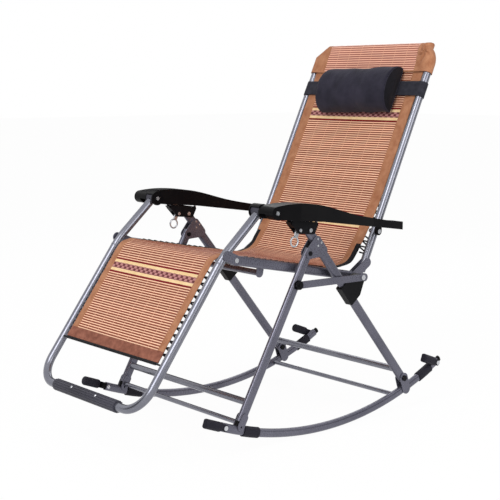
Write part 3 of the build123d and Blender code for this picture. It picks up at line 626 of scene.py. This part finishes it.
# Both faces of the pocket and its turn over the top tube, as a share of its height
FRONT_SLACK = 0.30
REAR_SLACK = 0.2
SLACK_REACH = 40.0
OVER_TUBE = 0.9
BEND_R = 62.0
BEND_X = TUBE_PLANE - BEND_R
BEND_T = BACK_LENGTH - BEND_R
PEAK_X = 243.0
GATHER_AT = (238.0, 738.0)
GATHER_REACH = 58.0
GATHER_CORE = 9.0
GATHER_FROM = 196
GATHER_EASE = 14
GATHER_HEIGHT = 12.0
GATHER_FOLDS = 3
GATHER_TWIST = 14.0


def pocket_side(sign, t):
    """Half-width of the pocket: cut off at the left corner, round and then peaked at the right one."""
    if sign < 0:
        share = max(0.0, (t - POCKET_CUT_T) / (POCKET_TOP - POCKET_CUT_T))
        return POCKET_SIDE + (POCKET_CUT_X - POCKET_SIDE) * share
    rise = max(0.0, t - BEND_T)
    bow = BEND_X + math.sqrt(max(0.0, (POCKET_SIDE - BEND_X) ** 2 - rise * rise))
    return max(PEAK_X, bow)


def pocket_edge(x, t):
    """Distance inside the pocket's outline."""
    inside = min(pocket_side(x, t) - abs(x), POCKET_TOP - t)
    if x < 0:
        return min(inside, (POCKET_SIDE + x) * POCKET_CUT[1] + (t - POCKET_CUT_T) * POCKET_CUT[0])
    return inside


def tube_height(x, t):
    """Height of the frame's tube over its middle plane, zero beside it."""
    x = abs(x)
    if t < BEND_T:
        off = abs(x - TUBE_PLANE)
    elif x < BEND_X:
        off = abs(t - BACK_LENGTH)
    else:
        off = abs(math.dist((x, t), (BEND_X, BEND_T)) - BEND_R)
    return math.sqrt(max(0.0, TUBE_R**2 - off * off))


def gathers(x, t):
    """Height of the folds that run out from the right corner."""
    away = math.dist((x, t), GATHER_AT)
    turned = math.atan2(t - GATHER_AT[1], x - GATHER_AT[0])
    inside = min(1.0, max(0.0, (x - GATHER_FROM) / GATHER_EASE))
    reach = max(0.0, 1.0 - away / GATHER_REACH) * min(1.0, away / GATHER_CORE) * inside
    return GATHER_HEIGHT * reach * abs(math.sin(GATHER_FOLDS * turned + away / GATHER_TWIST)) ** 0.7


def pocket_depth(x, t, side):
    """Height of the pocket's face over the frame's middle plane."""
    d = pocket_edge(x, t)
    round_off = math.sqrt(max(0.0, 1 - (1 - min(1.0, d / POCKET_R)) ** 2))
    slack = FRONT_SLACK if side > 0 else REAR_SLACK
    drop = 1.0 - slack * min(1.0, max(0.0, (d - 2 * POCKET_R) / SLACK_REACH))
    depth = POCKET_R * round_off * drop
    if side > 0 and x > 0:
        depth += gathers(x, t) * round_off
    depth += 0.9 * noise.noise(Vector((x / 30, t / 22, 3 * side))) * round_off
    covered = tube_height(x, t)
    return max(depth, covered + OVER_TUBE) if covered > 0 else depth


def pocket():
    """Front and back faces of the pocket, meeting along its outline and open below."""
    t_rows = [POCKET_LOW + (POCKET_TOP - POCKET_LOW) * k / POCKET_ROWS for k in range(POCKET_ROWS + 1)]
    wide = POCKET_COLUMNS + 1
    cloth_top = LAST * STEP
    points, flat, faces, picks = [], [], [], []
    for side in (1, -1):
        start = len(points)
        for t in t_rows:
            for k in range(wide):
                a = k / POCKET_COLUMNS * 2 - 1
                x = pocket_side(a, t) * math.copysign(1 - (1 - abs(a)) ** POCKET_CROWD, a)
                points.append((x, *up_back(t, side * pocket_depth(x, t, side))))
                flat.append((x * MM, (cloth_top + t - BACK_LENGTH + SLING_SHORT) * MM))
        for quad in grid_faces(len(t_rows), wide, start):
            faces.append(quad if side < 0 else quad[::-1])
            x = flat[quad[0]][0] / MM
            t = t_rows[(quad[0] - start) // wide]
            plain = side < 0 or abs(x) > FIELD_HALF or t < POCKET_LOW + POCKET_SEAM
            picks.append(1 if plain else 0)
    obj = mesh_object("sling_pocket", points, faces, [POCKET, BORDER], picks)
    flat_uv(obj, flat)
    work = bmesh.new()
    work.from_mesh(obj.data)
    bmesh.ops.remove_doubles(work, verts=work.verts, dist=0.00005)
    bmesh.ops.recalc_face_normals(work, faces=work.faces)
    work.to_mesh(obj.data)
    work.free()
    return thicken(obj, POCKET_THICK, 1.0)


top_pocket = pocket()
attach(top_pocket, "back")


# Elastic lacing between the sling's edges and the tubes

LACE_R = 2.5
LACE_BEHIND = 19.0
LACE_OUT = TUBE_PLANE - 5
EYELET_IN = 5
EYELET_UNDER = 1.2
LOOP_OUT = 3
LOOP_SHARE = 0.4
BACK_EDGE = SLING_HALF + BACK_EXTRA - 6
# Shares of a turn: the eyelet and the hold behind the tube, then the ways out and back from the eyelet
EYELET_AT = 0.15
HOLD_AT = 0.65
OUT_AT = 0.12
BACK_AT = 0.8


def lacing(name, body, start, end, count, behind, edge, x_out):
    """Zigzag of elastic on both edges, each turn going round the back of the tube."""
    way = unit(start, end)
    step = math.dist(start, end) / count
    curve = cord_curve(name, LACE_R, ELASTIC)
    for sign in (1, -1):
        points = []
        for k in range(count):
            base = ROUTE[index_at(along(start, way, (k + EYELET_AT) * step))]
            points.append((sign * (edge - EYELET_IN), *along(base, way, 0, EYELET_UNDER)))
            points.append((sign * (edge + LOOP_OUT), *along(base, way, OUT_AT * step, behind * LOOP_SHARE)))
            points.append((sign * x_out, *along(start, way, (k + HOLD_AT) * step, behind)))
            points.append((sign * (edge + LOOP_OUT), *along(base, way, BACK_AT * step, behind * LOOP_SHARE)))
        spline = add_spline(curve, "NURBS", [tuple(c * MM for c in point) for point in points])
        spline.order_u = 3
        spline.use_endpoint_u = True
    obj = link_object(name, curve)
    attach(obj, body)


def back_lacing(name, high, low, count):
    """Lacing of the back between two heights."""
    start = up_back(high, SLING_SET)
    end = up_back(low, SLING_SET)
    lacing(name, "back", start, end, count, LACE_BEHIND, BACK_EDGE, LACE_OUT)


lacing(
    "lacing_leg", "leg_rest", down_rest(50, -SLING_SET), down_rest(335, -SLING_SET),
    14, LACE_BEHIND, SLING_HALF, LACE_OUT,
)
# The back's lacing leaves out the arm's rivet.
back_lacing("lacing_back", POCKET_LOW - 30, 152.0, 22)
back_lacing("lacing_low", 112.0, 50.0, 3)
lacing(
    "lacing_seat", "seat", along(SEAT_REAR, RAIL_REAR, -112, SEAT_SET),
    along(SEAT_FRONT, RAIL_REAR, 45, SEAT_SET), 14, 0.8, SLING_HALF, RAIL_PLANE,
)


# Head pillow: a bolster, swollen by a short cloth run

STRAP_IN = TUBE_R + 0.6
STRAP_OUT = STRAP_IN + 2.0
STRAP_R = STRAP_IN + 1.0
PILLOW_GAP = 1.0
PILLOW_FLOOR = STRAP_OUT + 0.6
PILLOW_AROUND = 56
BULGE_POWER = 0.85
# Rings of an end panel: share of the half-length and share of the section
RIM = (0.985, 0.975)
END_PANEL = [(1.0, 0.04), (1.0, 0.45), (0.998, 0.75), (0.994, 0.92), RIM, (0.972, 0.99), (0.95, 0.985)]
PANEL_FROM = PILLOW_HALF - 8.0
PANEL_FACING = 0.72
SWELL_VOXEL = 5.0
SWELL_PRESSURE = 4.0
SWELL_CAP = 4.0
SWELL_FRAMES = 20
SEAM_R = 1.6
SEAM_POINTS = 64


def pillow_point(x, angle, share):
    """Point of the pillow's skin: a half-round section, flat against the strap, a little askew."""
    up = math.cos(angle) * PILLOW_HEIGHT / 2 * share
    bulge = max(0.0, math.sin(angle)) ** BULGE_POWER
    n = STRAP_OUT + PILLOW_GAP + bulge * PILLOW_DEPTH * share
    tilted_x = PILLOW_X + x * math.cos(PILLOW_TURN) - up * math.sin(PILLOW_TURN)
    tilted_up = x * math.sin(PILLOW_TURN) + up * math.cos(PILLOW_TURN)
    return (tilted_x, *up_back(PILLOW_AT + tilted_up, n))


def bolster():
    """Pillow skin: a soft body between two sewn rims and nearly flat end panels."""
    rings = [(-x, share) for x, share in END_PANEL]
    rings += [(k / 10 - 0.9, 0.985 + 0.012 * math.cos(k * 0.9)) for k in range(19)]
    rings += reversed(END_PANEL)
    points = []
    for share_x, share in rings:
        for angle in turns(PILLOW_AROUND):
            points.append(pillow_point(share_x * PILLOW_HALF, angle, share))
    faces = ring_faces(len(rings), PILLOW_AROUND)
    faces.append(tuple(range(PILLOW_AROUND)))
    faces.append(tuple(reversed(range(len(points) - PILLOW_AROUND, len(points)))))
    return mesh_object("head_pillow_skin", points, faces, [PILLOW])


def swell(obj):
    """Remeshes a closed skin and lets pressure swell it, each point by no more than a cap."""
    remesh = obj.modifiers.new("remesh", "REMESH")
    remesh.mode = "VOXEL"
    remesh.voxel_size = SWELL_VOXEL * MM
    apply_modifiers(obj)
    rest = [v.co.copy() for v in obj.data.vertices]
    scene = bpy.context.scene
    scene.frame_set(1)
    cloth = obj.modifiers.new("cloth", "CLOTH")
    cloth.settings.use_pressure = True
    cloth.settings.uniform_pressure_force = SWELL_PRESSURE
    cloth.settings.tension_stiffness = 12
    cloth.settings.compression_stiffness = 12
    cloth.settings.bending_stiffness = 0.4
    cloth.settings.effector_weights.gravity = 0.0
    for number in range(1, SWELL_FRAMES + 1):
        scene.frame_set(number)
    apply_modifiers(obj)
    scene.frame_set(1)
    for vertex, before in zip(obj.data.vertices, rest):
        move = vertex.co - before
        if move.length > SWELL_CAP * MM:
            vertex.co = before + move * (SWELL_CAP * MM / move.length)
    return obj


def crease_pillow(obj):
    """Presses soft creases into the pillow and keeps it off the strap."""
    for vertex in obj.data.vertices:
        x = vertex.co.x / MM
        y = vertex.co.y / MM - BACK_FOOT[0]
        z = vertex.co.z / MM - BACK_FOOT[1]
        n = y * BACK_FRONT[0] + z * BACK_FRONT[1]
        t = y * BACK_UP[0] + z * BACK_UP[1]
        wide = 1.1 * noise.noise(Vector((x / 46, t / 60, n / 40)))
        narrow = 0.5 * noise.noise(Vector((x / 14, t / 30, 5)))
        lift = max(PILLOW_FLOOR, n + (wide + narrow)) - n
        vertex.co.y += BACK_FRONT[0] * lift * MM
        vertex.co.z += BACK_FRONT[1] * lift * MM
    for polygon in obj.data.polygons:
        polygon.use_smooth = True
    smooth = obj.modifiers.new("smooth", "SUBSURF")
    smooth.levels = 1
    smooth.render_levels = 1
    apply_modifiers(obj)


pillow = swell(bolster())
crease_pillow(pillow)
pillow.data.materials.clear()
# The end panels take the darker copy, which paints shade on them.
for material in (PILLOW, PILLOW_END_SHADE):
    pillow.data.materials.append(material)
for polygon in pillow.data.polygons:
    off_middle = abs(polygon.center.x / MM - PILLOW_X)
    on_panel = off_middle > PANEL_FROM and abs(polygon.normal.x) > PANEL_FACING
    polygon.material_index = 1 if on_panel else 0
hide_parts("head_pillow")
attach(pillow, "pillow")
SKIN = BVHTree.FromPolygons(
    [v.co.copy() for v in pillow.data.vertices], [tuple(p.vertices) for p in pillow.data.polygons]
)


def seam_ring(sign):
    """Sewn rim round an end panel of the bolster."""
    curve = cord_curve("pillow_seam", SEAM_R, PILLOW)
    points = []
    for angle in turns(SEAM_POINTS):
        rim_point = pillow_point(sign * RIM[0] * PILLOW_HALF, angle, RIM[1])
        points.append(SKIN.find_nearest(Vector(rim_point) * MM)[0])
    add_spline(curve, "POLY", points).use_cyclic_u = True
    obj = link_object("pillow_seam", curve)
    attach(obj, "pillow")


for sign in (1, -1):
    seam_ring(sign)

STRAP_TURN = 24
STRAP_ROWS = 10
STRAP_EDGE = 3
STRAP_RIB = 0.3
STRAP_THICK = 1.6


def strap():
    """Webbing loop round both tubes, with sewn edges."""
    loop = []
    for k in range(STRAP_TURN + 1):
        a = -math.pi / 2 + math.pi * k / STRAP_TURN
        loop.append((TUBE_PLANE + STRAP_R * math.cos(a), STRAP_R * math.sin(a)))
    bend = list(loop)
    inward = [TUBE_PLANE - TUBE_PLANE * 2 * k / STRAP_TURN for k in range(1, STRAP_TURN)]
    loop += [(x, STRAP_R) for x in inward]
    loop += [(-x, -n) for x, n in bend]
    loop += [(-x, -STRAP_R) for x in inward]
    rows = [-STRAP_WIDTH / 2 + STRAP_WIDTH * k / STRAP_ROWS for k in range(STRAP_ROWS + 1)]
    points, faces = [], []
    for x, n in loop:
        for row in rows:
            rib = STRAP_RIB if abs(row) < STRAP_WIDTH / 2 - STRAP_EDGE else 0.0
            points.append((x, *up_back(STRAP_AT + row, n * (1 + rib / STRAP_R))))
    wide = len(rows)
    for i in range(len(loop)):
        j = (i + 1) % len(loop)
        for c in range(wide - 1):
            faces.append((i * wide + c, j * wide + c, j * wide + c + 1, i * wide + c + 1))
    return thicken(mesh_object("pillow_webbing", points, faces, [WEBBING]), STRAP_THICK, 0.0)


webbing = strap()
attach(webbing, "pillow")
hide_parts("pillow_strap")


# Small fittings: screws on the foot cover, inner heads of the lever rivets and rims on the leg rest's tubes

# Screw head: share of the radius and height over its seat, from the middle out
SCREW_PROFILE = [(0.0, 0.55), (0.45, 0.5), (0.8, 0.32), (1.0, 0.0), (1.0, -0.25)]
SCREW_AROUND = 24
CROSS_WIDTH = 0.3
CROSS_REACH = 0.7
CROSS_DEPTH = 0.25


def screw(name, body, at, way, radius):
    """Pan-head screw: a domed head with a cross recess."""
    points = []
    for r, h in SCREW_PROFILE:
        for a in turns(SCREW_AROUND):
            in_cross = min(abs(math.sin(a)), abs(math.cos(a))) < CROSS_WIDTH and r < CROSS_REACH
            height = h - CROSS_DEPTH if in_cross else h
            points.append((radius * r * math.cos(a), radius * r * math.sin(a), radius * height))
    faces = [(a, d, c, b) for a, b, c, d in ring_faces(len(SCREW_PROFILE), SCREW_AROUND)]
    obj = mesh_object(name, points, faces, [ZINC])
    turn = Vector((0, 0, 1)).rotation_difference(Vector(way)).to_matrix().to_4x4()
    obj.matrix_world = Matrix.Translation(Vector(at) * MM) @ turn
    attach(obj, body)


# Collar: distance along the tube and radius
COLLAR_PROFILE = [(0.0, TUBE_R - 0.1), (0.6, TUBE_R + 0.7), (4.4, TUBE_R + 0.7), (5.0, TUBE_R - 0.1)]
COLLAR_AT = 24.0
COLLAR_AROUND = 32


def collar(sign):
    """Rolled rim where the leg rest's upper tube plugs into the lower one."""
    points = []
    for t, r in COLLAR_PROFILE:
        for a in turns(COLLAR_AROUND):
            points.append((sign * TUBE_PLANE + r * math.cos(a), *down_rest(COLLAR_AT + t, r * math.sin(a))))
    obj = mesh_object("tube_collar", points, ring_faces(len(COLLAR_PROFILE), COLLAR_AROUND), [TUBE])
    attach(obj, "leg_rest")


LEVER_SPOT = (-322.0, 87.1)
LEVER_RIVET_R = 6.0
RUNNER_INNER = 281.0
for sign in (1, -1):
    collar(sign)
    screw("lever_rivet", "runners", (sign * RUNNER_INNER, *LEVER_SPOT), (-sign, 0.0, 0.0), LEVER_RIVET_R)

COVER_SCREW_X = 62.0
COVER_SCREW_R = 4.2
COVER_SCREW_OUT = 17.6
SCREW_WAY = (0.0, -0.62, 0.78)
for sign in (1, -1):
    spot = (
        sign * COVER_SCREW_X,
        LEG_REST_FOOT[0] + SCREW_WAY[1] * COVER_SCREW_OUT,
        LEG_REST_FOOT[1] + SCREW_WAY[2] * COVER_SCREW_OUT,
    )
    screw("cover_screw", "leg_rest", spot, SCREW_WAY, COVER_SCREW_R)


# Stage, light and camera

FLOOR_HALF = 30
FLOOR_WHITE = 0.96
WORLD_LIGHT = 0.62
WHITE = (1, 1, 1, 1)


def stage_object(name, corners, material):
    """A flat four-cornered piece of the stage."""
    mesh = bpy.data.meshes.new(name)
    mesh.from_pydata(corners, [], [(0, 1, 2, 3)])
    mesh.materials.append(material)
    obj = link_object(name, mesh)
    return obj


def matt_material(name, colour, roughness):
    """A plain matt material, its shader and a function that adds nodes to it."""
    material, shader, add = new_material(name)
    plug(shader, {"Base Color": colour, "Roughness": roughness, "Specular IOR Level": 0.0})
    return material, shader, add


def seen_ray(add):
    """1 for rays from the camera or off a glossy surface, otherwise 0."""
    rays = add("ShaderNodeLightPath").node.outputs
    return maths(add, "MAXIMUM", rays["Is Camera Ray"], rays["Is Glossy Ray"])


floor_look, shader, add = matt_material("floor_white", (0.93, 0.93, 0.93, 1.0), 0.9)
seen = maths(add, "MULTIPLY", seen_ray(add), FLOOR_WHITE)
glow = add("ShaderNodeEmission", {"Strength": 1.0})
shown = add("ShaderNodeMixShader", {"Fac": seen, 1: shader.outputs["BSDF"], 2: glow})
plug(floor_look.node_tree.nodes["Material Output"], {"Surface": shown})
floor_corners = [(x * FLOOR_HALF, y * FLOOR_HALF, 0) for x, y in ((-1, -1), (1, -1), (1, 1), (-1, 1))]
stage_object("floor", floor_corners, floor_look)

scene = bpy.context.scene
world = bpy.data.worlds.new("studio")
scene.world = world
world.use_nodes = True
world.node_tree.nodes.clear()
add = node_adder(world.node_tree)
lit = add("ShaderNodeBackground", {"Color": WHITE, "Strength": WORLD_LIGHT})
white = add("ShaderNodeBackground", {"Color": WHITE, "Strength": 1.0})
sky = add("ShaderNodeMixShader", {"Fac": seen_ray(add), 1: lit, 2: white})
plug(world.node_tree.nodes.new("ShaderNodeOutputWorld"), {"Surface": sky})


def area_light(name, place, aim, size, power):
    """Square lamp at a place, aimed at a point."""
    lamp = bpy.data.lights.new(name, "AREA")
    lamp.energy = power
    lamp.size = size
    obj = link_object(name, lamp)
    obj.location = place
    obj.rotation_euler = (Vector(aim) - Vector(place)).to_track_quat("-Z", "Y").to_euler()


area_light("key", (1.2, -3.2, 3.4), (0, 0, 0.6), 2.4, 95.0)
area_light("side", (3.6, 0.6, 2.2), (0, 0, 0.6), 2.2, 40.0)
area_light("rear", (-2.2, 2.6, 2.8), (0, 0, 0.7), 2.2, 30.0)

CARD_FAR = 4.5
CARD_TALL = 3.2
CARD = matt_material("card_dark", (0.02, 0.02, 0.024, 1.0), 1.0)[0]


def dark_card(turn, width):
    """Upright dark panel round the stage, seen only in gloss, so that metal shows light and dark streaks."""
    angle = math.radians(turn)
    middle = Vector((CARD_FAR * math.cos(angle), CARD_FAR * math.sin(angle), 0.0))
    aside = Vector((-math.sin(angle), math.cos(angle), 0.0)) * width / 2
    up = Vector((0.0, 0.0, CARD_TALL))
    corners = [middle - aside, middle + aside, middle + aside + up, middle - aside + up]
    card = stage_object("card", corners, CARD)
    card.visible_camera = False
    card.visible_diffuse = False
    card.visible_shadow = False
    card.visible_transmission = False


for turn, width in ((28, 3.0), (-112, 3.0), (140, 4.0)):
    dark_card(turn, width)

VIEW_AZIMUTH = math.radians(49.56)
VIEW_RISE = math.radians(8.13)
VIEW_FROM = (2.7160, -2.2893, 1.0331)
camera_data = bpy.data.cameras.new("photo_view")
camera_data.sensor_width = 36.0
camera_data.lens = 83.16
camera = link_object("photo_view", camera_data)
camera.location = VIEW_FROM
look = Vector(
    (
        -math.sin(VIEW_AZIMUTH) * math.cos(VIEW_RISE),
        math.cos(VIEW_AZIMUTH) * math.cos(VIEW_RISE),
        -math.sin(VIEW_RISE),
    )
)
camera.rotation_euler = look.to_track_quat("-Z", "Y").to_euler()
scene.camera = camera
scene.view_settings.view_transform = "Standard"
